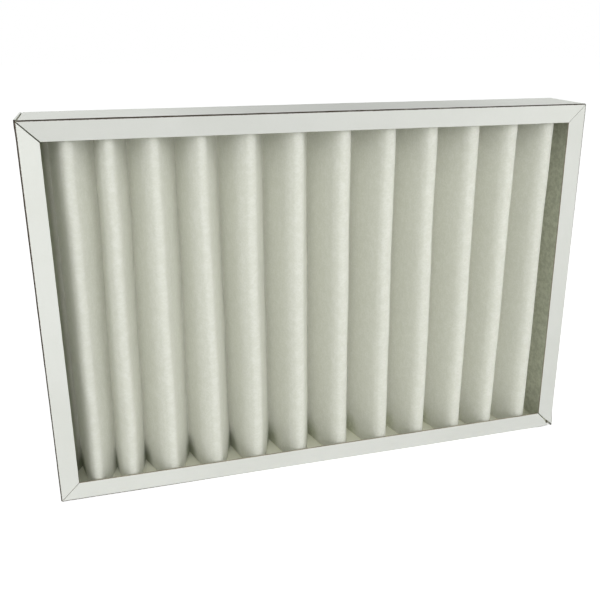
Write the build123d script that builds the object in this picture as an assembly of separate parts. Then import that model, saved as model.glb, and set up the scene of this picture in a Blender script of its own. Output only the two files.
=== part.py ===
from build123d import *
from math import atan2, cos, degrees, dist, radians, sin, sqrt
import os

# Pleated panel air filter: one folded nonwoven sheet, glued into a card cassette that two alike
# L-shaped channels make. X runs along the width, Y from the front face to the rear one, Z up.
# The origin is the middle of the cassette's underside, and every size is in millimetres.

# Cassette
width = 392.0
height = 265.0
depth = 48.0
board = 1.2  # thickness of the lined card
score = 0.6  # depth of the half-cut on the outside of every fold
flange = 13.2  # from the cassette's outer edge to the opening
corner_gap = 0.3  # across the mitre where one channel is folded round a corner
joint_gap = 0.8  # across the mitre where the two channels meet
tab_length = 20.0  # glue tab at the end of each channel, from the outer edge
tab_clearance = 0.6  # between a glue tab and the flange on each side of it

# Adhesive
film = 0.3  # between a glue tab and the web that it laps
bed = 0.4  # between the sheet and what it is stuck to, and squeezed out beside it
fold_chords = 4  # straight runs of its squeezed-out edge round each fold

# Pleated sheet
media = 3.6  # thickness of the nonwoven
tip_crease = 2.2  # radius inside each front tip, which springs open
rear_crease = 0.5  # radius inside each rear fold
bow_radius = 400.0  # of the sheet's middle line, from a front tip to a rear fold
front_clearance = 1.5  # between the pleats' front tips and the front flanges
rear_clearance = 1.0  # between the rear folds and the rear flanges
lap = 9.0  # the sheet's end that is stuck flat to a side web
first_tip = 27.9  # from the cassette's left edge to the first front tip
last_tip = 27.9  # from its right edge to the last front tip
left_fold = 14.0  # from the left edge to the middle of the first rear fold
right_fold = 9.0  # from the right edge to the middle of the last rear fold
# Hand-set pleats stand unevenly: the share of each space between two front tips
pleat_spacing = (24.2, 28.1, 31.0, 31.2, 32.7, 32.7, 33.0, 31.9, 31.9, 29.5, 30.0)
rear_offsets = (2.5, -2.6, 0.6, 0, 0, 0, 0, 0, 0, 0, 0)  # of each rear fold from midway between tips

# What follows from these sizes
left, right = -width / 2, width / 2
front, rear = -depth / 2, depth / 2
tab_face = board + film  # from a side's outer face to the tab that lies inside its web
tab_back = tab_face + board
lap_face = tab_back + bed  # from a side's outer face to the sheet's end
tab_half = rear - board - tab_clearance
tip_radius = tip_crease + media / 2
rear_radius = rear_crease + media / 2
lap_start = front + board + front_clearance
lap_end = lap_start + lap
tip_y = lap_start + media / 2 + tip_radius
rear_fold_y = rear - board - rear_clearance - media / 2 - rear_radius


def block(x, y, z):
    """A box between the given pairs of X, Y and Z."""
    size = (x[1] - x[0], y[1] - y[0], z[1] - z[0])
    middle = ((x[0] + x[1]) / 2, (y[0] + y[1]) / 2, (z[0] + z[1]) / 2)
    return Pos(*middle) * Box(*size)


def plate(outline, y_low, y_high):
    """A flat piece with an outline in X and Z, between two values of Y."""
    face = Plane.XZ.offset(-y_low) * make_face(Polyline(*outline, close=True))
    return extrude(face, y_high - y_low, dir=(0, 1, 0))


def web_strip():
    """The left and bottom webs: one strip folded at the lower left corner, half-cut outside."""
    end = right - tab_face
    outline = [
        (left, height),
        (left, score),
        (left + score, score),
        (left + score, 0),
        (end - score, 0),
        (end - score, score),
        (end, score),
        (end, board),
        (left + board, board),
        (left + board, height),
    ]
    return plate(outline, front + score, rear - score)


def glue_tab():
    """The tab folded up from the bottom web's end, inside the other channel's side web."""
    end = right - tab_face
    return block((end - board, end), (-tab_half, tab_half), (score, tab_length))


def flange_outlines():
    """The left and bottom flanges, seen from the front, with their mitred ends."""
    fold, joint = corner_gap / sqrt(2), joint_gap / sqrt(2)
    end = right - tab_face
    side = [
        (left + score, score + fold),
        (left + flange, flange + fold),
        (left + flange, height - flange - joint),
        (left + score, height - score - joint),
    ]
    bottom = [
        (left + score + fold, score),
        (end, score),
        (end, right - end - joint),
        (right - flange - joint, flange),
        (left + flange + fold, flange),
    ]
    return side, bottom


def card_channel():
    """One folded channel: the cassette's left and bottom sides. The other is this one turned."""
    channel = web_strip() + glue_tab()
    for outline in flange_outlines():
        channel += plate(outline, front, front + board)
        channel += plate(outline, rear - board, rear)
    return channel


def turned(shape):
    """The shape turned half round about the cassette's axis from front to rear."""
    return shape.rotate(Axis((0, 0, height / 2), (0, 1, 0)), 180)


def on_circle(centre, radius, angle):
    return (centre[0] + radius * cos(radians(angle)), centre[1] + radius * sin(radians(angle)))


def direction(start, end):
    return degrees(atan2(end[1] - start[1], end[0] - start[0]))


def fold_centres():
    """The centres of the sheet's folds in X and Y: a rear one, then a front and a rear in turn."""
    span = width - first_tip - last_tip
    tips = [left + first_tip]
    for share in pleat_spacing:
        tips.append(tips[-1] + span * share / sum(pleat_spacing))
    rears = [left + left_fold]
    for a, b, offset_x in zip(tips, tips[1:], rear_offsets):
        rears.append((a + b) / 2 + offset_x)
    rears.append(right - right_fold)
    centres = [(rears[0], rear_fold_y)]
    for tip, following in zip(tips, rears[1:]):
        centres += [(tip, tip_y), (following, rear_fold_y)]
    return centres


def bow_centre(tip, fold, side):
    """The centre of the bowed flank that runs from a front tip's circle to a rear fold's."""
    apart = dist(tip, fold)
    inner, outer = bow_radius - tip_radius, bow_radius + rear_radius
    along = (inner**2 - outer**2 + apart**2) / (2 * apart)
    across = side * sqrt(inner**2 - along**2)
    ux, uy = (fold[0] - tip[0]) / apart, (fold[1] - tip[1]) / apart
    return (tip[0] + along * ux - across * uy, tip[1] + along * uy + across * ux)


def end_bow(fold, lap_x):
    """The radius and centre of the end flank, from the lap on a side web to the first fold."""
    aside, behind = abs(fold[0] - lap_x), fold[1] - lap_end
    radius = (aside**2 + behind**2 - rear_radius**2) / (2 * (aside - rear_radius))
    towards = 1 if fold[0] > lap_x else -1
    return radius, (lap_x + towards * radius, lap_end)


def middle_line():
    """The arcs of the sheet's middle line from left to right: centre, radius, angle, sweep.

    A sweep over 0 turns left, as round a front tip, and one under 0 turns right.
    """
    centres = fold_centres()
    lap_inset = lap_face + media / 2
    first_radius, first_centre = end_bow(centres[0], left + lap_inset)
    last_radius, last_centre = end_bow(centres[-1], right - lap_inset)
    heading = direction(first_centre, centres[0])
    arcs = [(first_centre, first_radius, 180, heading - 180)]
    for fold, tip, following in zip(centres[0:-1:2], centres[1::2], centres[2::2]):
        into, out_of = bow_centre(tip, fold, -1), bow_centre(tip, following, 1)
        leaving = direction(fold, into)
        arcs.append((fold, rear_radius, heading, -((heading - leaving) % 360)))
        start, end = direction(into, fold), direction(into, tip)
        arcs.append((into, bow_radius, start, (end - start) % 360))
        start, end = direction(into, tip), direction(out_of, tip)
        arcs.append((tip, tip_radius, start, (end - start) % 360))
        start, end = direction(out_of, tip), direction(out_of, following)
        arcs.append((out_of, bow_radius, start, (end - start) % 360))
        heading = direction(following, out_of)
    leaving = direction(last_centre, centres[-1])
    arcs.append((centres[-1], rear_radius, heading, -((heading - leaving) % 360)))
    arcs.append((last_centre, last_radius, leaving, -leaving))
    return arcs


def sheet_section():
    """The folded sheet's section in X and Y, with its ends lapped on the side webs."""
    sides = []
    for aside in (media / 2, -media / 2):
        edges = []
        for centre, radius, angle, sweep in middle_line():
            away = radius - aside if sweep > 0 else radius + aside
            edges.append(
                ThreePointArc(
                    on_circle(centre, away, angle),
                    on_circle(centre, away, angle + sweep / 2),
                    on_circle(centre, away, angle + sweep),
                )
            )
        sides.append(edges)
    outline = sides[0] + sides[1]
    for edges in sides:
        for point in (edges[0] @ 0, edges[-1] @ 1):
            outline.append(Line((point.X, point.Y), (point.X, lap_start)))
    for face, inward in ((left + lap_face, 1), (right - lap_face, -1)):
        outline.append(Line((face, lap_start), (face + inward * media, lap_start)))
    return make_face(outline)


def pleated_sheet():
    """The folded nonwoven, between the beds of adhesive on the top and bottom webs."""
    low = board + bed
    return extrude(Pos(0, 0, low) * sheet_section(), height - 2 * low)


def spread_edge(aside):
    """Points from left to right along one edge of the adhesive that is spread under the sheet."""
    points = []
    for centre, radius, angle, sweep in middle_line():
        away = radius - aside if sweep > 0 else radius + aside
        chords = fold_chords if radius in (tip_radius, rear_radius) else 1
        for step in range(chords):
            points.append(on_circle(centre, away, angle + sweep * step / chords))
    points.append(on_circle(centre, away, angle + sweep))
    return [(points[0][0], lap_start - bed)] + points + [(points[-1][0], lap_start - bed)]


def pleat_bed():
    """The adhesive on the bottom web, in which the pleats' lower ends stand."""
    spread = media / 2 + bed
    outline = spread_edge(spread) + spread_edge(-spread)[::-1]
    return extrude(Pos(0, 0, board) * make_face(Polyline(*outline, close=True)), bed)


def tab_film():
    """The adhesive between the lower right side web and the tab that laps it."""
    x = (right - tab_face, right - board)
    return block(x, (-tab_half, tab_half), (board, tab_length))


def lap_bead():
    """The adhesive between the right side web, with its tab, and the sheet's end."""
    low = board + bed
    outline = [
        (right - lap_face, low),
        (right - tab_back, low),
        (right - tab_back, tab_length),
        (right - board, tab_length),
        (right - board, height - low),
        (right - lap_face, height - low),
    ]
    return plate(outline, lap_start, lap_end)


parts = {
    "frame_channel_left_bottom": card_channel(),
    "frame_channel_right_top": turned(card_channel()),
    "pleated_media": pleated_sheet(),
    "bottom_pleat_adhesive": pleat_bed(),
    "top_pleat_adhesive": Pos(0, 0, height - 2 * board - bed) * pleat_bed(),
    "right_edge_adhesive": lap_bead(),
    "left_edge_adhesive": turned(lap_bead()),
    "lower_tab_adhesive": tab_film(),
    "upper_tab_adhesive": turned(tab_film()),
}

os.makedirs("parts", exist_ok=True)
for name, shape in parts.items():
    export_step(shape, f"parts/{name}.step")
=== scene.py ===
import bmesh
import bpy
from math import atan2, cos, degrees, dist, pi, radians, sin, sqrt
from mathutils import Matrix, Vector
from mathutils.noise import noise


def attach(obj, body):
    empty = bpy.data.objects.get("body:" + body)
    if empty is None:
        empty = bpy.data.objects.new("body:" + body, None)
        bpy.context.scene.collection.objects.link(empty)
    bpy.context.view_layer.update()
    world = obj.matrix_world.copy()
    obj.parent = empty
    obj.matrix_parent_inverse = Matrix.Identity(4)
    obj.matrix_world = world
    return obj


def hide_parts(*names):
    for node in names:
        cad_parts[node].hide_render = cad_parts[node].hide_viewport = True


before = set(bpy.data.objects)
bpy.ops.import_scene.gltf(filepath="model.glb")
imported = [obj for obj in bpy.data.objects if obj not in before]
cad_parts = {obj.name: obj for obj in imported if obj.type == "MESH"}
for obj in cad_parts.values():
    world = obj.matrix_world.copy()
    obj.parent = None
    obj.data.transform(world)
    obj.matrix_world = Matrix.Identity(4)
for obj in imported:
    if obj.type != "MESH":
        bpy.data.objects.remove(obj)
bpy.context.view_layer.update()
print("frame loaded")

mm = 0.001


# Helpers for node trees

class Wire:
    # A node's output that takes part in sums: each one adds its Math node.
    def __init__(self, graph, socket):
        self.graph = graph
        self.socket = socket

    def out(self, name):
        return Wire(self.graph, self.socket.node.outputs[name])

    def math(self, operation, *values):
        sockets = dict(enumerate(values))
        return self.graph.add("ShaderNodeMath", {"operation": operation}, sockets)

    def __add__(self, other):
        return self.math("ADD", self, other)

    def __radd__(self, other):
        return self.math("ADD", other, self)

    def __sub__(self, other):
        return self.math("SUBTRACT", self, other)

    def __rsub__(self, other):
        return self.math("SUBTRACT", other, self)

    def __mul__(self, other):
        return self.math("MULTIPLY", self, other)

    def __rmul__(self, other):
        return self.math("MULTIPLY", other, self)

    def __truediv__(self, other):
        return self.math("DIVIDE", self, other)

    def __rtruediv__(self, other):
        return self.math("DIVIDE", other, self)

    def __pow__(self, other):
        return self.math("POWER", self, other)

    def __abs__(self):
        return self.math("ABSOLUTE", self)

    def sine(self):
        return self.math("SINE", self)

    def least(self, other):
        return self.math("MINIMUM", self, other)

    def most(self, other):
        return self.math("MAXIMUM", self, other)


class Graph:
    def __init__(self, tree):
        self.tree = tree
        self.tree.nodes.clear()

    def add(self, kind, settings=None, sockets=None, output=0):
        node = self.tree.nodes.new(kind)
        for name, value in (settings or {}).items():
            if name == "stops":
                setStops(node.color_ramp, value)
            else:
                setattr(node, name, value)
        for name, value in (sockets or {}).items():
            if isinstance(value, Wire):
                self.tree.links.new(value.socket, node.inputs[name])
            else:
                node.inputs[name].default_value = value
        return Wire(self, node.outputs[output]) if node.outputs else node

    def smooth(self, value, low, high, start=0.0, end=1.0):
        sockets = {"Value": value, 1: low, 2: high, 3: start, 4: end}
        return self.add("ShaderNodeMapRange", {"interpolation_type": "SMOOTHSTEP"}, sockets)

    def fade(self, value, reach, start=0.0, end=1.0):
        # Smooth between two places in millimetres
        return self.smooth(value, reach[0] * mm, reach[1] * mm, start, end)

    def mixColour(self, share, first, second):
        settings = {"data_type": "RGBA"}
        return self.add("ShaderNodeMix", settings, {0: share, 6: first, 7: second}, 2)

    def noise(self, place, scale, detail=2.0, rough=0.5, output=0):
        sockets = {"Vector": place, "Scale": scale, "Detail": detail, "Roughness": rough}
        return self.add("ShaderNodeTexNoise", None, sockets, output)

    def stretch(self, place, scale):
        return self.add("ShaderNodeMapping", None, {"Vector": place, "Scale": scale})


def setStops(ramp, stops):
    while len(ramp.elements) < len(stops):
        ramp.elements.new(1.0)
    for element, (place, colour) in zip(ramp.elements, stops):
        element.position = place
        element.color = colour


def paint(red, green, blue):
    # A colour as a swatch card gives it, from 0 to 255, turned to what a node takes
    shares = [value / 255 for value in (red, green, blue)]
    linear = [v / 12.92 if v <= 0.04045 else ((v + 0.055) / 1.055) ** 2.4 for v in shares]
    return (*linear, 1.0)


def newMaterial(name):
    material = bpy.data.materials.new(name)
    material.use_nodes = True
    return material, Graph(material.node_tree)


def surface(graph, shader):
    graph.add("ShaderNodeOutputMaterial", None, {"Surface": shader})


def addPiece(name, mesh, *materials):
    piece = bpy.data.objects.new(name, mesh)
    bpy.context.scene.collection.objects.link(piece)
    for material in materials:
        mesh.materials.append(material)
    return piece


# Card cassette

card = {
    "left": -196.0, "right": 196.0,
    "top": 265.0,
    "front": -24.0, "rear": 24.0,
    "board": 1.2,
    "flange": 13.2,  # from the outer edge to the opening
    "tabFace": 1.5,  # from the outer face of a side to its glue tab
    "tightCorner": (150.0, 240.0),  # X and Z beyond which the folded mitre lies
    "edgeSoftness": 0.14,
    "cutSpacing": 4.0,  # between the cross cuts that let a strip bend
    "warp": 0.35, "warpLength": 150.0,
    "ragged": 0.09, "raggedLength": 7.0,  # along cut and half-cut edges
    "liner": paint(227, 228, 223),
    "linerShade": paint(222, 223, 217),
    "insideLighter": paint(238, 238, 221),  # lighter and warmer, on the faces that look into the cassette
    "insideLighterFrom": (0.0, 0.2),  # past half the board's thickness
    "core": paint(178, 168, 150),
    "coreDark": paint(138, 128, 112),
    "grimeAndGrooveShade": paint(64, 56, 48),  # dirt and painted groove shade in the half-cuts, dirt in the open joints
    "jointAside": (180.0, 184.0), "jointAway": (117.0, 120.0),  # from the middle, along X and Z
    # Where handling has moved a corner: its middle, how far that reaches, and the move
    "wear": {
        "frame_channel_left_bottom": (
            ((193.5, -23.4, 1.2), 7.5, (-1.9, 0.3, 0.2)),
            ((-195.0, -23.4, 262.0), 8.0, (-0.3, -0.2, 0.5)),
        ),
        "frame_channel_right_top": (
            ((194.5, -23.4, 3.0), 8.0, (1.1, -0.2, 0.3)),
        ),
    },
    "lip": paint(84, 74, 63),  # dirt and painted groove shade on the liner beside a half-cut fold
    "lipReach": (0.95, 1.05, 0.95, 1.05),  # of a lip from its corner: top, left, right, bottom
    "lipFade": 0.2, "lipWander": 0.5,
    "shadeAndDirtRight": (0.45, 0.95),  # shares of the height between which the right fold takes its dirt and painted groove shade
    "shadeAndDirtLow": (0.05, 0.45),  # shares of the width between which the bottom fold loses it
    # Scales of the liner's and the core's patterns, each in turns to the metre
    "clouds": 18.0, "fibres": 900.0, "streaks": 4.0, "streakStretch": (14.0, 90.0, 90.0),
    "specks": 1400.0, "patches": 160.0,
    "shadeToRight": 0.1,  # painted shade on the liner, darker from the left to the right
    "shadeDownward": 0.05,  # and darker from the top down
    "mitreFade": (0.0, 0.3),  # where the top flange's painted light and shade ends
    "webFade": (0.3, 0.4),  # and the top web's, down from the top
    # Painted light and shade along the top flange and the top web: shares of the liner's tone, from the
    # left
    "topFlangeLighting": ((0.0, 0.83), (0.45, 0.85), (1.0, 1.03)),
    "topWebLighting": ((0.0, 1.38), (0.2, 1.36), (0.37, 1.05), (0.55, 0.92), (0.74, 0.97), (0.9, 1.12)),
}


def toneAlong(graph, share, tones):
    # A tone that follows a share from 0 to 1, halved so that the ramp can hold more than 1
    stops = [(place, (tone / 2, tone / 2, tone / 2, 1)) for place, tone in tones]
    return graph.add("ShaderNodeValToRGB", {"stops": stops}, {"Fac": share}) * 2


def blended(graph, share, tone):
    return 1 - share + share * tone


def acrossShare(spot):
    return (spot.out("X") - card["left"] * mm) / ((card["right"] - card["left"]) * mm)


def insideShare(graph, spot):
    # Over 0 on the faces that look into the cassette
    deep = (card["rear"] - card["board"]) * mm - abs(spot.out("Y"))
    low = spot.out("Z").least(card["top"] * mm - spot.out("Z"))
    aside = card["right"] * mm - abs(spot.out("X"))
    within = deep.least(low.least(aside) - card["board"] / 2 * mm)
    return graph.fade(within, card["insideLighterFrom"])


def foldShares(graph, spot, fine, across):
    # How near the cassette's outer corners a place lies, and how much dirt and painted groove shade it
    # takes there
    x, y, z = spot.out("X"), spot.out("Y"), spot.out("Z")
    inward = card["rear"] * mm - abs(y)
    wander = (fine - 0.5) * (card["lipWander"] * mm)
    high = z / (card["top"] * mm)
    folds = (
        (card["top"] * mm - z, 1.0),
        (x - card["left"] * mm, 1.0),
        (card["right"] * mm - x, graph.smooth(high, *card["shadeAndDirtRight"], 0.1, 1.0)),
        (z, graph.smooth(across, *card["shadeAndDirtLow"], 1.0, 0.0)),
    )
    nearest, worst = None, None
    for (apart, shadeAndDirt), reach in zip(folds, card["lipReach"]):
        corner = apart.most(inward) + wander
        near = graph.fade(corner, (reach - card["lipFade"], reach), 1.0, 0.0)
        nearest = near if nearest is None else nearest.most(near)
        worst = near * shadeAndDirt if worst is None else worst.most(near * shadeAndDirt)
    return nearest, worst


def linerMaterial():
    material, graph = newMaterial("whiteLinedBoard")
    place = graph.add("ShaderNodeTexCoord", None, None, "Object")
    cloudy = graph.noise(place, card["clouds"], 4.0, 0.55)
    fine = graph.noise(place, card["fibres"], 3.0, 0.6)
    drawn = graph.stretch(place, card["streakStretch"])
    streaks = graph.noise(drawn, card["streaks"], 3.0, 0.6)
    share = graph.smooth(cloudy * 0.7 + streaks * 0.1 + fine * 0.2, 0.3, 0.7)
    colour = graph.mixColour(share, card["linerShade"], card["liner"])
    spot = graph.add("ShaderNodeSeparateXYZ", None, {0: place})
    across = acrossShare(spot)
    fromTop = card["top"] * mm - spot.out("Z")
    # Painted shade: the liner darker to the right and from the top down
    tone = 1 - across * card["shadeToRight"] - fromTop / (card["top"] * mm) * card["shadeDownward"]
    # Painted light and shade along the top flange and the top web
    fromSide = (spot.out("X") - card["left"] * mm).least(card["right"] * mm - spot.out("X"))
    beyond = fromTop - fromSide.least(card["flange"] * mm)
    onTop = graph.fade(beyond, card["mitreFade"], 1.0, 0.0)
    tone = tone * blended(graph, onTop, toneAlong(graph, across, card["topFlangeLighting"]))
    onWeb = graph.fade(fromTop, card["webFade"], 1.0, 0.0)
    tone = tone * blended(graph, onWeb, toneAlong(graph, across, card["topWebLighting"]))
    colour = graph.add("ShaderNodeVectorMath", {"operation": "SCALE"}, {0: colour, "Scale": tone})
    # Lighter and warmer on the faces that look into the cassette
    colour = graph.mixColour(insideShare(graph, spot), colour, card["insideLighter"])
    # Dirt and painted groove shade beside the half-cut folds
    shadeAndDirt = foldShares(graph, spot, fine, across)[1]
    colour = graph.mixColour(shadeAndDirt, colour, card["lip"])
    height = fine * 0.5 + streaks * 0.5
    bump = graph.add("ShaderNodeBump", None, {"Strength": 0.05, "Distance": 0.0002, "Height": height})
    rough = 0.52 + (cloudy - 0.5) * 0.12
    board = graph.add("ShaderNodeBsdfPrincipled", None, {
        "Base Color": colour, "Roughness": rough, "Normal": bump, "Specular IOR Level": 0.35,
    })
    surface(graph, board)
    return material


def coreMaterial():
    material, graph = newMaterial("greyboardCore")
    place = graph.add("ShaderNodeTexCoord", None, None, "Object")
    specks = graph.noise(place, card["specks"], 3.0, 0.65)
    patches = graph.noise(place, card["patches"], 3.0, 0.55)
    share = graph.smooth(specks * 0.5 + patches * 0.5, 0.35, 0.65)
    colour = graph.mixColour(share, card["coreDark"], card["core"])
    spot = graph.add("ShaderNodeSeparateXYZ", None, {0: place})
    near, shadeAndDirt = foldShares(graph, spot, specks, acrossShare(spot))
    colour = graph.mixColour(near, colour, card["linerShade"])
    # The joints are at the top left and the bottom right, where X and the height part in sign
    height = spot.out("Z") - card["top"] / 2 * mm
    joint = graph.fade(abs(spot.out("X")), card["jointAside"])
    joint = joint * graph.fade(abs(height), card["jointAway"])
    joint = joint * graph.smooth(spot.out("X") * height, -0.002, -0.001, 1.0, 0.0)
    # Dirt in the open joints, dirt and painted groove shade in the half-cuts
    colour = graph.mixColour(shadeAndDirt.most(joint), colour, card["grimeAndGrooveShade"])
    bump = graph.add("ShaderNodeBump", None, {"Strength": 0.5, "Distance": 0.0002, "Height": specks})
    core = graph.add("ShaderNodeBsdfPrincipled", None, {
        "Base Color": colour, "Roughness": 0.9, "Normal": bump, "Specular IOR Level": 0.15,
    })
    surface(graph, core)
    return material


def onLiner(centre, normal):
    # The board's two lined faces lie on these planes, and every other face is cut through it
    axis = max(range(3), key=lambda i: abs(normal[i]))
    board, tab = card["board"], card["tabFace"]
    sides = [card["left"], card["right"]]
    planes = [
        sides + [side - sign * inset for side, sign in zip(sides, (-1, 1))
                 for inset in (board, tab, tab + board)],
        [card["front"], card["rear"], card["front"] + board, card["rear"] - board],
        [0.0, board, card["top"], card["top"] - board],
    ][axis]
    return min(abs(centre[axis] / mm - plane) for plane in planes) < 0.02


def closedMitre(centre, normal):
    # The top right corner is folded so tight that its mitre shows no core
    slanted = abs(abs(normal[0]) - abs(normal[2])) < 0.1
    aside, high = card["tightCorner"]
    return slanted and centre.x > aside * mm and centre.z > high * mm


def cardHalf(name, node, liner, core):
    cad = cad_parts[node].data
    work = bmesh.new()
    corners = [work.verts.new(vertex.co) for vertex in cad.vertices]
    for polygon in cad.polygons:
        work.faces.new([corners[i] for i in polygon.vertices])
    bmesh.ops.remove_doubles(work, verts=work.verts, dist=1e-6)
    bmesh.ops.dissolve_limit(work, angle_limit=radians(1), verts=work.verts, edges=work.edges)
    for face in work.faces:
        centre = face.calc_center_median()
        lined = onLiner(centre, face.normal) or closedMitre(centre, face.normal)
        face.material_index = 0 if lined else 1
    sharp = [edge for edge in work.edges if edge.calc_face_angle(0) > radians(30)]
    bmesh.ops.bevel(
        work, geom=sharp, offset=card["edgeSoftness"] * mm, segments=2, profile=0.6,
        affect="EDGES", clamp_overlap=True, material=-1,
    )
    for axis, low, high in ((0, card["left"], card["right"]), (2, 0.0, card["top"])):
        steps = int((high - low) / card["cutSpacing"])
        for step in range(1, steps):
            point, across = Vector(), Vector()
            point[axis] = (low + (high - low) * step / steps) * mm
            across[axis] = 1
            everything = work.verts[:] + work.edges[:] + work.faces[:]
            bmesh.ops.bisect_plane(work, geom=everything, dist=1e-7, plane_co=point, plane_no=across)
    for vertex in work.verts:
        place = vertex.co / mm
        slow, quick = place / card["warpLength"], place / card["raggedLength"]
        bend = Vector([noise(slow + Vector((k, 0, 0))) for k in (11, 23, 37)])
        rough = Vector([noise(quick + Vector((k, 0, 0))) for k in (51, 63, 77)])
        move = bend * card["warp"] + rough * card["ragged"]
        for spot, reach, push in card["wear"][node]:
            near = max(0.0, 1 - (place - Vector(spot)).length / reach)
            move += Vector(push) * near * near * (3 - 2 * near)
        vertex.co += move * mm
    mesh = bpy.data.meshes.new(name)
    work.to_mesh(mesh)
    work.free()
    for polygon in mesh.polygons:
        polygon.use_smooth = False
    piece = addPiece(name, mesh, liner, core)
    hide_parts(node)
    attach(piece, "root")


liner = linerMaterial()
core = coreMaterial()
cardHalf("cardChannelLeftBottom", "frame_channel_left_bottom", liner, core)
cardHalf("cardChannelRightTop", "frame_channel_right_top", liner, core)
print("card cassette made")


# Pleated sheet

pleats = {
    "thickness": 3.6,
    "low": 1.6, "high": 263.4,
    "lapInset": 4.9,  # from a side's outer face to the sheet's middle line
    "lapStart": -21.3, "lapEnd": -12.3,
    "rearLine": 20.0,  # how far back the middle line reaches
    "firstTip": 27.9, "lastTip": 27.9,
    "leftFold": 14.0, "rightFold": 9.0,
    "spacing": (24.2, 28.1, 31.0, 31.2, 32.7, 32.7, 33.0, 31.9, 31.9, 29.5, 30.0),
    "rearShift": (1.0, 2.3, -2.6, 0.6, 0.0, 0.0, 0.0, 0.0, 0.0, 0.0, 0.0, 0.0, 0.0),
    # How far the top of each fold leans to the right of its bottom
    "lean": (1.4, 1.7, 0.0, -2.1, 0.0, 0.0, 0.0, 0.0, 0.0, 0.8, 3.8, 3.2),
    "rearLean": (0.7, 5.5, 4.8, 3.0, -1.0, 0.0, 0.0, 0.0, 0.0, 0.4, 2.3, 3.5, 1.6),
    # The middle line's radii away from the glued ends, and at them. A front tip turns by its
    # crowns' angles to the left and right before its shoulders begin. Full is what the left
    # crown and shoulder come to where a pleat bulges to the left.
    "free": {
        "front": 3.0, "crowns": (52.0, 58.0), "shoulders": (14.0, 11.0), "full": (44.0, 24.0),
        "rear": 1.85, "bow": 400.0,
    },
    "pinned": {
        "front": 2.8, "crowns": (52.0, 58.0), "shoulders": (16.0, 10.0), "full": (52.0, 16.0),
        "rear": 1.85, "bow": 900.0,
    },
    "bulge": (0.0, 0.3, 0.9, 1.0, 0.9, 0.6, 0.3, 0.0, 0.0, 0.0, 0.0, 0.0),
    # Shares of the front radius that each tip has, as the first ones are pressed sharper
    "sharpness": (0.6, 0.6, 0.65, 0.7, 0.8, 0.9, 1.0, 1.0, 1.0, 1.0, 1.0, 1.0),
    # How far each rear fold stays short of the rear line
    "shallow": (0.0, 9.0, 4.0, 2.0, 0.5, 0.0, 0.0, 0.0, 0.0, 0.0, 0.0, 0.0, 0.0),
    "foldSteps": 12, "shoulderSteps": 6, "flankSteps": 12, "endSteps": 10, "lapSteps": 3,
    "rows": 56,
    "crowding": 0.55,  # of the rows towards the glued ends
    "pinchReach": {"foot": 24.0, "head": 5.0},
    "waviness": 1.0, "waveLength": 70.0,
    "loft": 0.3, "loftLength": 9.0,
    "seed": 7,
    "flat": (1.1507, 0.2618),  # the sheet before it is folded, in metres
    "white": (0.925, 0.928, 0.872, 1.0),
    "shade": (0.825, 0.831, 0.756, 1.0),
    "crestHighlight": (1.0, 0.998, 0.955, 1.0),  # painted highlight along each front tip
    # Painted shade, darker and olive: at the left lap and at the foot of each rear fold, and at the
    # right lap
    "paintedShadeDark": (0.35, 0.37, 0.268, 1.0),
    "paintedShade": (0.59, 0.61, 0.475, 1.0),
    "paintedShadePale": (0.78, 0.80, 0.655, 1.0),
    # Scales of the wadding's patterns, and each set of hairs with where it is moved to
    "clouds": 230.0, "grain": 700.0, "mottle": 200.0,
    "hairs": ((260.0, 0.0), (340.0, 3.7), (430.0, 9.1)), "hairWidth": 0.035,
    "darkSide": (-120.0, 80.0),  # where the painted shade turns from dark to pale, along X
    "footDepth": (-2.0, 12.0), "footHeight": (6.0, 22.0),  # where the painted shade at the feet begins and ends
    "footWander": 6.0,
    "lapReach": (34.0, 42.0),  # from the sheet's end to where the painted shade of a lap ends
    "lapShade": 0.9,
    # Painted shade: the valleys are a little darker below their tops
    "valleyShade": 0.07, "valleyDepth": (5.0, 17.0), "valleyTop": (200.0, 250.0),
    "letThrough": 0.35,  # share of the light
    "crestWidth": 2.8,  # of the painted highlight line
    "crestAside": (-1.4, 0.6),  # from a tip to its painted highlight line, on the left and on the right
}


def onCircle(centre, radius, angle):
    return (centre[0] + radius * cos(radians(angle)), centre[1] + radius * sin(radians(angle)))


def heading(start, end):
    return degrees(atan2(end[1] - start[1], end[0] - start[0]))


def foldPlaces():
    # X of the rear folds and of the front tips
    left, right = card["left"], card["right"]
    span = right - left - pleats["firstTip"] - pleats["lastTip"]
    tips = [left + pleats["firstTip"]]
    for share in pleats["spacing"]:
        tips.append(tips[-1] + span * share / sum(pleats["spacing"]))
    rears = [(a + b) / 2 for a, b in zip(tips, tips[1:])]
    rears = [left + pleats["leftFold"]] + rears + [right - pleats["rightFold"]]
    return [x + shift for x, shift in zip(rears, pleats["rearShift"])], tips


def bowCentre(shape, tip, shoulder, fold, side):
    apart = dist(tip, fold)
    inner, outer = shape["bow"] - shoulder, shape["bow"] + shape["rear"]
    along = (inner**2 - outer**2 + apart**2) / (2 * apart)
    across = side * sqrt(inner**2 - along**2)
    ux, uy = (fold[0] - tip[0]) / apart, (fold[1] - tip[1]) / apart
    return (tip[0] + along * ux - across * uy, tip[1] + along * uy + across * ux)


def endBow(fold, lapX, rear):
    aside, behind = abs(fold[0] - lapX), fold[1] - pleats["lapEnd"]
    radius = (aside**2 + behind**2 - rear**2) / (2 * (aside - rear))
    towards = 1 if fold[0] > lapX else -1
    return radius, (lapX + towards * radius, pleats["lapEnd"])


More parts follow.
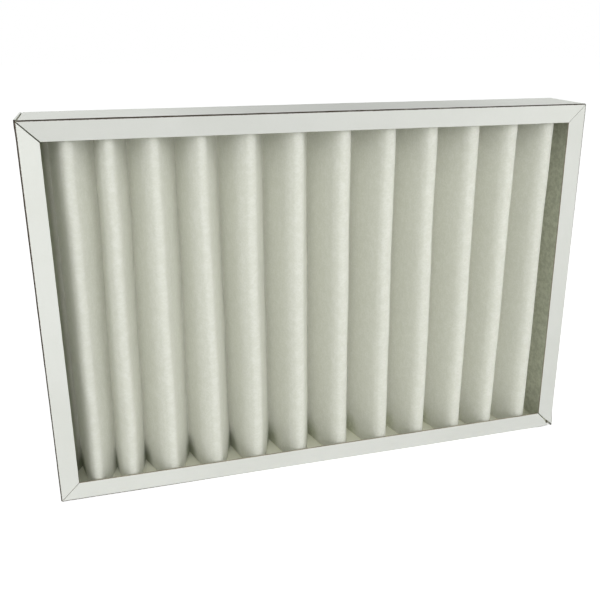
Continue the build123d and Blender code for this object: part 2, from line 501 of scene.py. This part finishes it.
def middleLine(shape):
    # Points of the sheet's middle line, the same number for every shape
    rear, bow = shape["rear"], shape["bow"]
    rears, tips = foldPlaces()
    frontLine = pleats["lapStart"] + pleats["thickness"] / 2
    folds = [(x, pleats["rearLine"] - rear - short) for x, short in zip(rears, pleats["shallow"])]
    fronts = [shape["front"] * share for share in pleats["sharpness"]]
    lapLeft, lapRight = card["left"] + pleats["lapInset"], card["right"] - pleats["lapInset"]
    foldSteps, flankSteps, endSteps = pleats["foldSteps"], pleats["flankSteps"], pleats["endSteps"]
    shoulderSteps = pleats["shoulderSteps"]
    points = []

    def arc(centre, radius, start, sweep, steps):
        for step in range(steps):
            points.append(onCircle(centre, radius, start + sweep * step / steps))

    for step in range(pleats["lapSteps"]):
        share = step / pleats["lapSteps"]
        points.append((lapLeft, pleats["lapStart"] + share * (pleats["lapEnd"] - pleats["lapStart"])))
    radius, centre = endBow(folds[0], lapLeft, rear)
    turned = heading(centre, folds[0])
    arc(centre, radius, 180, turned - 180, endSteps)
    leftCrown, rightCrown = shape["crowns"]
    slimRadius, rightRadius = shape["shoulders"]
    fullCrown, fullRadius = shape["full"]
    rightTurn = -90 + rightCrown
    for i, (x, front, bulge) in enumerate(zip(tips, fronts, pleats["bulge"])):
        fold, tip, following = folds[i], (x, frontLine + front), folds[i + 1]
        leftTurn = -90 - leftCrown - (fullCrown - leftCrown) * bulge
        leftRadius = slimRadius + (fullRadius - slimRadius) * bulge
        leftCentre = onCircle(tip, front - leftRadius, leftTurn)
        rightCentre = onCircle(tip, front - rightRadius, rightTurn)
        into = bowCentre(shape, leftCentre, leftRadius, fold, -1)
        outOf = bowCentre(shape, rightCentre, rightRadius, following, 1)
        arc(fold, rear, turned, -((turned - heading(fold, into)) % 360), foldSteps)
        start, end = heading(into, fold), heading(into, leftCentre)
        arc(into, bow, start, (end - start) % 360, flankSteps)
        arc(leftCentre, leftRadius, end, (leftTurn - end) % 360, shoulderSteps)
        arc(tip, front, leftTurn, rightTurn - leftTurn, foldSteps)
        start, end = heading(outOf, rightCentre), heading(outOf, following)
        arc(rightCentre, rightRadius, rightTurn, (start - rightTurn) % 360, shoulderSteps)
        arc(outOf, bow, start, (end - start) % 360, flankSteps)
        turned = heading(following, outOf)
    radius, centre = endBow(folds[-1], lapRight, rear)
    leaving = heading(centre, folds[-1])
    arc(folds[-1], rear, turned, -((turned - leaving) % 360), foldSteps)
    arc(centre, radius, leaving, -leaving, endSteps)
    for step in range(pleats["lapSteps"] + 1):
        share = step / pleats["lapSteps"]
        points.append((lapRight, pleats["lapEnd"] + share * (pleats["lapStart"] - pleats["lapEnd"])))
    return points


def leanAt(x):
    # How far the sheet at x leans, between the folds' own leans
    rears, tips = foldPlaces()
    places, leans = [card["left"], rears[0]], [0.0, pleats["rearLean"][0]]
    for tip, rear, lean, rearLean in zip(tips, rears[1:], pleats["lean"], pleats["rearLean"][1:]):
        places += [tip, rear]
        leans += [lean, rearLean]
    places.append(card["right"])
    leans.append(0.0)
    for a, b, leanA, leanB in zip(places, places[1:], leans, leans[1:]):
        if x <= b:
            return leanA + (leanB - leanA) * (x - a) / (b - a)
    return 0.0


def crestShares(points):
    # How near each point of the section lies to the painted highlight line of a front tip, from 0 to 1
    front = min(y for x, y in points[pleats["lapSteps"] + pleats["endSteps"]:])
    tips = foldPlaces()[1]
    shares = []
    asideLeft, asideRight = pleats["crestAside"]
    width = card["right"] - card["left"]
    lines = [x + asideLeft + (asideRight - asideLeft) * (x - card["left"]) / width for x in tips]
    for x, y in points:
        apart = min(dist((x, y), (line, front)) for line in lines)
        shares.append(max(0.0, 1 - apart * 2 / pleats["crestWidth"]))
    return shares


def sheetTree():
    tree = bpy.data.node_groups.new("pleatedSheet", "GeometryNodeTree")
    graph = Graph(tree)
    kinds = {
        "Section": "NodeSocketGeometry",
        "Columns": "NodeSocketInt", "Rows": "NodeSocketInt",
        "Low": "NodeSocketFloat", "High": "NodeSocketFloat",
        "Crowding": "NodeSocketFloat", "Thickness": "NodeSocketFloat",
        "Foot Reach": "NodeSocketFloat", "Head Reach": "NodeSocketFloat",
        "Waviness": "NodeSocketFloat", "Wave Length": "NodeSocketFloat",
        "Loft": "NodeSocketFloat", "Loft Length": "NodeSocketFloat",
        "Seed": "NodeSocketInt", "Material": "NodeSocketMaterial",
    }
    sockets = {}
    for name, kind in kinds.items():
        sockets[name] = tree.interface.new_socket(name, in_out="INPUT", socket_type=kind)
    tree.interface.new_socket("Sheet", in_out="OUTPUT", socket_type="NodeSocketGeometry")
    given = graph.add("NodeGroupInput")
    grid = graph.add("GeometryNodeMeshGrid", None, {
        "Size X": 1.0, "Size Y": 1.0,
        "Vertices X": given.out("Columns"), "Vertices Y": given.out("Rows"),
    })
    flat = graph.add("ShaderNodeSeparateXYZ", None, {0: graph.add("GeometryNodeInputPosition")})
    column = (flat.out("X") + 0.5) * (given.out("Columns") - 1)
    index = graph.add("FunctionNodeFloatToInt", {"rounding_mode": "ROUND"}, {0: column})
    up = flat.out("Y") + 0.5
    eased = up - (up * (2 * pi)).sine() * given.out("Crowding") / (2 * pi)
    height = given.out("Low") + (given.out("High") - given.out("Low")) * eased

    def sampled(value, kind):
        return graph.add("GeometryNodeSampleIndex", {"data_type": kind, "domain": "POINT"}, {
            "Geometry": given.out("Section"), "Value": value, "Index": index,
        })

    def named(name, kind):
        return graph.add("GeometryNodeInputNamedAttribute", {"data_type": kind}, {"Name": name})

    free = sampled(graph.add("GeometryNodeInputPosition"), "FLOAT_VECTOR")
    pinned = sampled(named("pinned", "FLOAT_VECTOR"), "FLOAT_VECTOR")
    lean = sampled(named("lean", "FLOAT"), "FLOAT")
    along = sampled(named("along", "FLOAT"), "FLOAT")
    crest = sampled(named("crest", "FLOAT"), "FLOAT")
    fromFoot = (height - given.out("Low")) / given.out("Foot Reach")
    fromHead = (given.out("High") - height) / given.out("Head Reach")
    released = fromFoot.least(fromHead).least(1.0)
    pinch = (1 - released) ** 2.0
    section = graph.add("ShaderNodeMix", {"data_type": "VECTOR"}, {0: pinch, 4: free, 5: pinned}, 1)
    place = graph.add("ShaderNodeSeparateXYZ", None, {0: section})
    seeded = given.out("Seed") * 17.3
    spot = graph.add("ShaderNodeCombineXYZ", None, {
        "X": place.out("X") / given.out("Wave Length") + seeded,
        "Y": place.out("Y") / given.out("Wave Length") * 0.5,
        "Z": height / given.out("Wave Length"),
    })
    wander = graph.add("ShaderNodeSeparateXYZ", None, {0: graph.noise(spot, 1.0, 1.0, 0.5, "Color")})
    swing = given.out("Waviness") * (1 - pinch) * 2
    share = (height - given.out("Low")) / (given.out("High") - given.out("Low")) - 0.5
    moved = graph.add("ShaderNodeCombineXYZ", None, {
        "X": place.out("X") + lean * share + (wander.out("X") - 0.5) * swing,
        "Y": place.out("Y") + (wander.out("Y") - 0.5) * swing * 0.4,
        "Z": height,
    })
    flatPlace = graph.add("ShaderNodeCombineXYZ", None, {"X": along, "Y": height})
    kept = {"data_type": "FLOAT2", "domain": "CORNER"}
    mapped = graph.add("GeometryNodeStoreNamedAttribute", kept, {
        "Geometry": grid, "Name": "sheetMap", "Value": flatPlace,
    })
    marked = graph.add("GeometryNodeStoreNamedAttribute", {"data_type": "FLOAT", "domain": "POINT"}, {
        "Geometry": mapped, "Name": "crest", "Value": crest,
    })
    middle = graph.add("GeometryNodeSetPosition", None, {"Geometry": marked, "Position": moved})
    half = given.out("Thickness") / 2
    solid = {"mode": "FACES"}
    faceOut = graph.add("GeometryNodeExtrudeMesh", solid, {
        "Mesh": middle, "Offset Scale": half, "Individual": False,
    })
    flipped = graph.add("GeometryNodeFlipFaces", None, {"Mesh": middle})
    faceIn = graph.add("GeometryNodeExtrudeMesh", solid, {
        "Mesh": flipped, "Offset Scale": half, "Individual": False,
    })
    both = graph.add("GeometryNodeJoinGeometry", None, {0: faceOut})
    tree.links.new(faceIn.socket, both.socket.node.inputs[0])
    closed = graph.add("GeometryNodeMergeByDistance", None, {"Geometry": both, "Distance": 1e-6})
    here = graph.add("GeometryNodeInputPosition")
    bumps = graph.noise(here, 1 / given.out("Loft Length"), 2.0, 0.5)
    lift = (bumps - 0.5) * given.out("Loft")
    inFree = graph.smooth(released, 0.0, 0.15)
    outward = graph.add("ShaderNodeVectorMath", {"operation": "SCALE"}, {
        0: graph.add("GeometryNodeInputNormal"), "Scale": lift * inFree,
    })
    lofty = graph.add("GeometryNodeSetPosition", None, {"Geometry": closed, "Offset": outward})
    smooth = graph.add("GeometryNodeSetShadeSmooth", None, {"Geometry": lofty})
    angle = graph.add("GeometryNodeInputMeshEdgeAngle")
    steep = graph.add("FunctionNodeCompare", {"operation": "GREATER_THAN"}, {0: angle, 1: radians(60)})
    creased = graph.add("GeometryNodeSetShadeSmooth", {"domain": "EDGE"}, {
        "Geometry": smooth, "Selection": steep, "Shade Smooth": False,
    })
    real = graph.add("GeometryNodeRealizeInstances", None, {"Geometry": creased})
    finished = graph.add("GeometryNodeSetMaterial", None, {
        "Geometry": real, "Material": given.out("Material"),
    })
    graph.add("NodeGroupOutput", None, {"Sheet": finished})
    return tree, {name: socket.identifier for name, socket in sockets.items()}


def nonwovenMaterial(length):
    # The length is the sheet's, along which its own map runs
    material, graph = newMaterial("needledNonwoven")
    place = graph.add("ShaderNodeUVMap", {"uv_map": "sheetMap"})
    clouds = graph.noise(graph.stretch(place, (1.0, 0.6, 1.0)), pleats["clouds"], 4.0, 0.6)
    grain = graph.noise(place, pleats["grain"], 2.0, 0.6)
    hairs = None
    for scale, away in pleats["hairs"]:
        moved = graph.add("ShaderNodeMapping", None, {
            "Vector": place, "Location": (away, away, away), "Scale": (1.0, 0.7, 1.0),
        })
        bent = graph.noise(moved, scale, 1.0, 0.4)
        line = graph.smooth(abs(bent - 0.5), 0.0, pleats["hairWidth"], 1.0, 0.0)
        hairs = line if hairs is None else hairs.most(line)
    crest = graph.add("ShaderNodeAttribute", {"attribute_name": "crest"}, None, 2)
    share = graph.smooth(clouds * 0.5 + grain * 0.35 + hairs * 0.15, 0.36, 0.64)
    colour = graph.mixColour(share, pleats["shade"], pleats["white"])
    # Painted highlight along each front tip
    colour = graph.mixColour(graph.smooth(crest, 0.0, 1.0), colour, pleats["crestHighlight"])
    folded = graph.add("ShaderNodeTexCoord", None, None, "Object")
    spot = graph.add("ShaderNodeSeparateXYZ", None, {0: folded})
    # Painted shade deep in the valleys, fading out towards the top
    valleyShading = graph.fade(spot.out("Y"), pleats["valleyDepth"])
    valleyShading = valleyShading * graph.fade(spot.out("Z"), pleats["valleyTop"], 1.0, 0.0)
    colour = graph.mixColour(valleyShading * pleats["valleyShade"], colour, (0.0, 0.0, 0.0, 1.0))
    # Painted shade at the foot of each rear fold and at both laps, darkest on the left; there less light
    # gets through as well
    ragged = spot.out("Z") + (clouds - 0.5) * (pleats["footWander"] * mm)
    foot = graph.fade(ragged, pleats["footHeight"], 1.0, 0.0)
    foot = foot * graph.fade(spot.out("Y"), pleats["footDepth"])
    flat = graph.add("ShaderNodeSeparateXYZ", None, {0: place})
    fromEnd = flat.out("X").least(length - flat.out("X"))
    lapped = graph.fade(fromEnd, pleats["lapReach"], 1.0, 0.0)
    blotches = graph.noise(place, pleats["mottle"], 5.0, 0.7)
    mottled = graph.smooth(blotches, 0.38, 0.62)
    mottled = graph.mixColour(mottled, pleats["paintedShade"], pleats["paintedShadePale"])
    onRight = graph.fade(spot.out("X"), pleats["darkSide"])
    mottled = graph.mixColour(onRight, pleats["paintedShadeDark"], mottled)
    shadeShare = foot.most(lapped * pleats["lapShade"])
    colour = graph.mixColour(shadeShare, colour, mottled)
    height = hairs * 0.6 + grain * 0.4
    bump = graph.add("ShaderNodeBump", None, {"Strength": 0.35, "Distance": 0.0003, "Height": height})
    matt = graph.add("ShaderNodeBsdfPrincipled", None, {
        "Base Color": colour, "Roughness": 0.95, "Specular IOR Level": 0.1,
        "Sheen Weight": 0.15, "Sheen Roughness": 0.5, "Normal": bump,
    })
    through = graph.add("ShaderNodeBsdfTranslucent", None, {"Color": pleats["white"]})
    thin = pleats["letThrough"] * (1 - shadeShare)
    surface(graph, graph.add("ShaderNodeMixShader", None, {0: thin, 1: matt, 2: through}))
    return material


def pleatedSheet():
    free, pinned = middleLine(pleats["free"]), middleLine(pleats["pinned"])
    mesh = bpy.data.meshes.new("section")
    edges = [(i, i + 1) for i in range(len(free) - 1)]
    mesh.from_pydata([(x * mm, y * mm, 0) for x, y in free], edges, [])
    glued = mesh.attributes.new("pinned", "FLOAT_VECTOR", "POINT")
    glued.data.foreach_set("vector", [v * mm for x, y in pinned for v in (x, y, 0)])
    lean = mesh.attributes.new("lean", "FLOAT", "POINT")
    lean.data.foreach_set("value", [leanAt(x) * mm for x, y in free])
    lengths = [0.0]
    for start, end in zip(free, free[1:]):
        lengths.append(lengths[-1] + dist(start, end) * mm)
    crest = mesh.attributes.new("crest", "FLOAT", "POINT")
    crest.data.foreach_set("value", crestShares(free))
    along = mesh.attributes.new("along", "FLOAT", "POINT")
    along.data.foreach_set("value", lengths)
    section = addPiece("section", mesh)
    tree, sockets = sheetTree()
    modifier = section.modifiers.new("pleatedSheet", "NODES")
    modifier.node_group = tree
    values = {
        "Columns": len(free), "Rows": pleats["rows"],
        "Low": pleats["low"] * mm, "High": pleats["high"] * mm,
        "Crowding": pleats["crowding"], "Thickness": pleats["thickness"] * mm,
        "Foot Reach": pleats["pinchReach"]["foot"] * mm,
        "Head Reach": pleats["pinchReach"]["head"] * mm,
        "Waviness": pleats["waviness"] * mm, "Wave Length": pleats["waveLength"] * mm,
        "Loft": pleats["loft"] * mm, "Loft Length": pleats["loftLength"] * mm,
        "Seed": pleats["seed"], "Material": nonwovenMaterial(lengths[-1]),
    }
    for name, value in values.items():
        modifier[sockets[name]] = value
    graph = bpy.context.evaluated_depsgraph_get()
    made = bpy.data.meshes.new_from_object(section.evaluated_get(graph))
    bpy.data.objects.remove(section)
    made.name = "pleatedSheet"
    sheet = addPiece("pleatedSheet", made)
    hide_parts("pleated_media")
    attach(sheet, "root")
    print("pleated sheet made,", len(made.polygons), "faces, middle line", round(lengths[-1], 4), "m")


pleatedSheet()


# Adhesive

glue = {"clear": paint(231, 231, 216), "thick": paint(226, 225, 206)}


def glueMaterial():
    material, graph = newMaterial("hotMelt")
    place = graph.add("ShaderNodeTexCoord", None, None, "Object")
    lumps = graph.noise(place, 240.0, 3.0, 0.5)
    colour = graph.mixColour(graph.smooth(lumps, 0.35, 0.65), glue["thick"], glue["clear"])
    bump = graph.add("ShaderNodeBump", None, {"Strength": 0.4, "Distance": 0.0004, "Height": lumps})
    shader = graph.add("ShaderNodeBsdfPrincipled", None, {
        "Base Color": colour, "Roughness": 0.35, "Normal": bump,
    })
    surface(graph, shader)
    return material


hotMelt = glueMaterial()
for name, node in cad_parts.items():
    if name.endswith("adhesive"):
        node.data.materials.clear()
        node.data.materials.append(hotMelt)
print("adhesive made")


# Studio

studio = {
    "world": (0.97, 1.0, 0.975, 1.0), "worldStrength": 0.52,
    "key": 71.0, "keyPlace": (0.2, -2.8, 1.4), "keyAim": (0.0, 0.0, 0.13), "keySize": 4.0,
    "floor": 0.8, "floorGlow": 0.6, "floorSize": 12.0,
    "lens": 45.96, "sensor": 36.0, "shift": (-0.0368, -0.0297),
    "cameraPlace": (-0.150165, -0.517682, 0.320504),
    "cameraRight": (0.95957974, -0.28142784, 0.00225593),
    "cameraUp": (0.08831517, 0.30871826, 0.94704459),
}


def seenDirectly(graph):
    light = graph.add("ShaderNodeLightPath")
    seen = light.out("Is Camera Ray").most(light.out("Is Glossy Ray"))
    return seen.most(light.out("Is Transmission Ray"))


def makeFloor():
    material, graph = newMaterial("paperFloor")
    tone = studio["floor"]
    matt = graph.add("ShaderNodeBsdfDiffuse", None, {"Color": (tone, tone, tone, 1)})
    glow = graph.add("ShaderNodeEmission", None, {"Strength": seenDirectly(graph) * studio["floorGlow"]})
    surface(graph, graph.add("ShaderNodeAddShader", None, {0: matt, 1: glow}))
    half = studio["floorSize"] / 2
    mesh = bpy.data.meshes.new("floor")
    corners = [(-half, -half, 0), (half, -half, 0), (half, half, 0), (-half, half, 0)]
    mesh.from_pydata(corners, [], [(0, 1, 2, 3)])
    floor = addPiece("floor", mesh, material)


def makeWorld():
    world = bpy.data.worlds.new("studio")
    world.use_nodes = True
    bpy.context.scene.world = world
    graph = Graph(world.node_tree)
    light = graph.add("ShaderNodeBackground", None, {
        "Color": studio["world"], "Strength": studio["worldStrength"],
    })
    white = graph.add("ShaderNodeBackground", None, {"Color": (1, 1, 1, 1), "Strength": 1.0})
    mixed = graph.add("ShaderNodeMixShader", None, {0: seenDirectly(graph), 1: light, 2: white})
    graph.add("ShaderNodeOutputWorld", None, {"Surface": mixed})


def makeLamp():
    lamp = bpy.data.lights.new("key", "AREA")
    lamp.shape = "DISK"
    lamp.size = studio["keySize"]
    lamp.energy = studio["key"]
    holder = bpy.data.objects.new("key", lamp)
    holder.location = studio["keyPlace"]
    aim = Vector(studio["keyAim"]) - Vector(studio["keyPlace"])
    holder.rotation_mode = "QUATERNION"
    holder.rotation_quaternion = aim.to_track_quat("-Z", "Y")
    bpy.context.scene.collection.objects.link(holder)


def makeCamera():
    lens = bpy.data.cameras.new("camera")
    lens.lens = studio["lens"]
    lens.sensor_width = studio["sensor"]
    lens.shift_x, lens.shift_y = studio["shift"]
    holder = bpy.data.objects.new("camera", lens)
    right, up = Vector(studio["cameraRight"]), Vector(studio["cameraUp"])
    turned = Matrix((right, up, right.cross(up))).transposed().to_4x4()
    holder.matrix_world = Matrix.Translation(studio["cameraPlace"]) @ turned
    bpy.context.scene.collection.objects.link(holder)
    bpy.context.scene.camera = holder


makeFloor()
makeWorld()
makeLamp()
makeCamera()
bpy.context.scene.view_settings.view_transform = "Standard"
print("studio made")
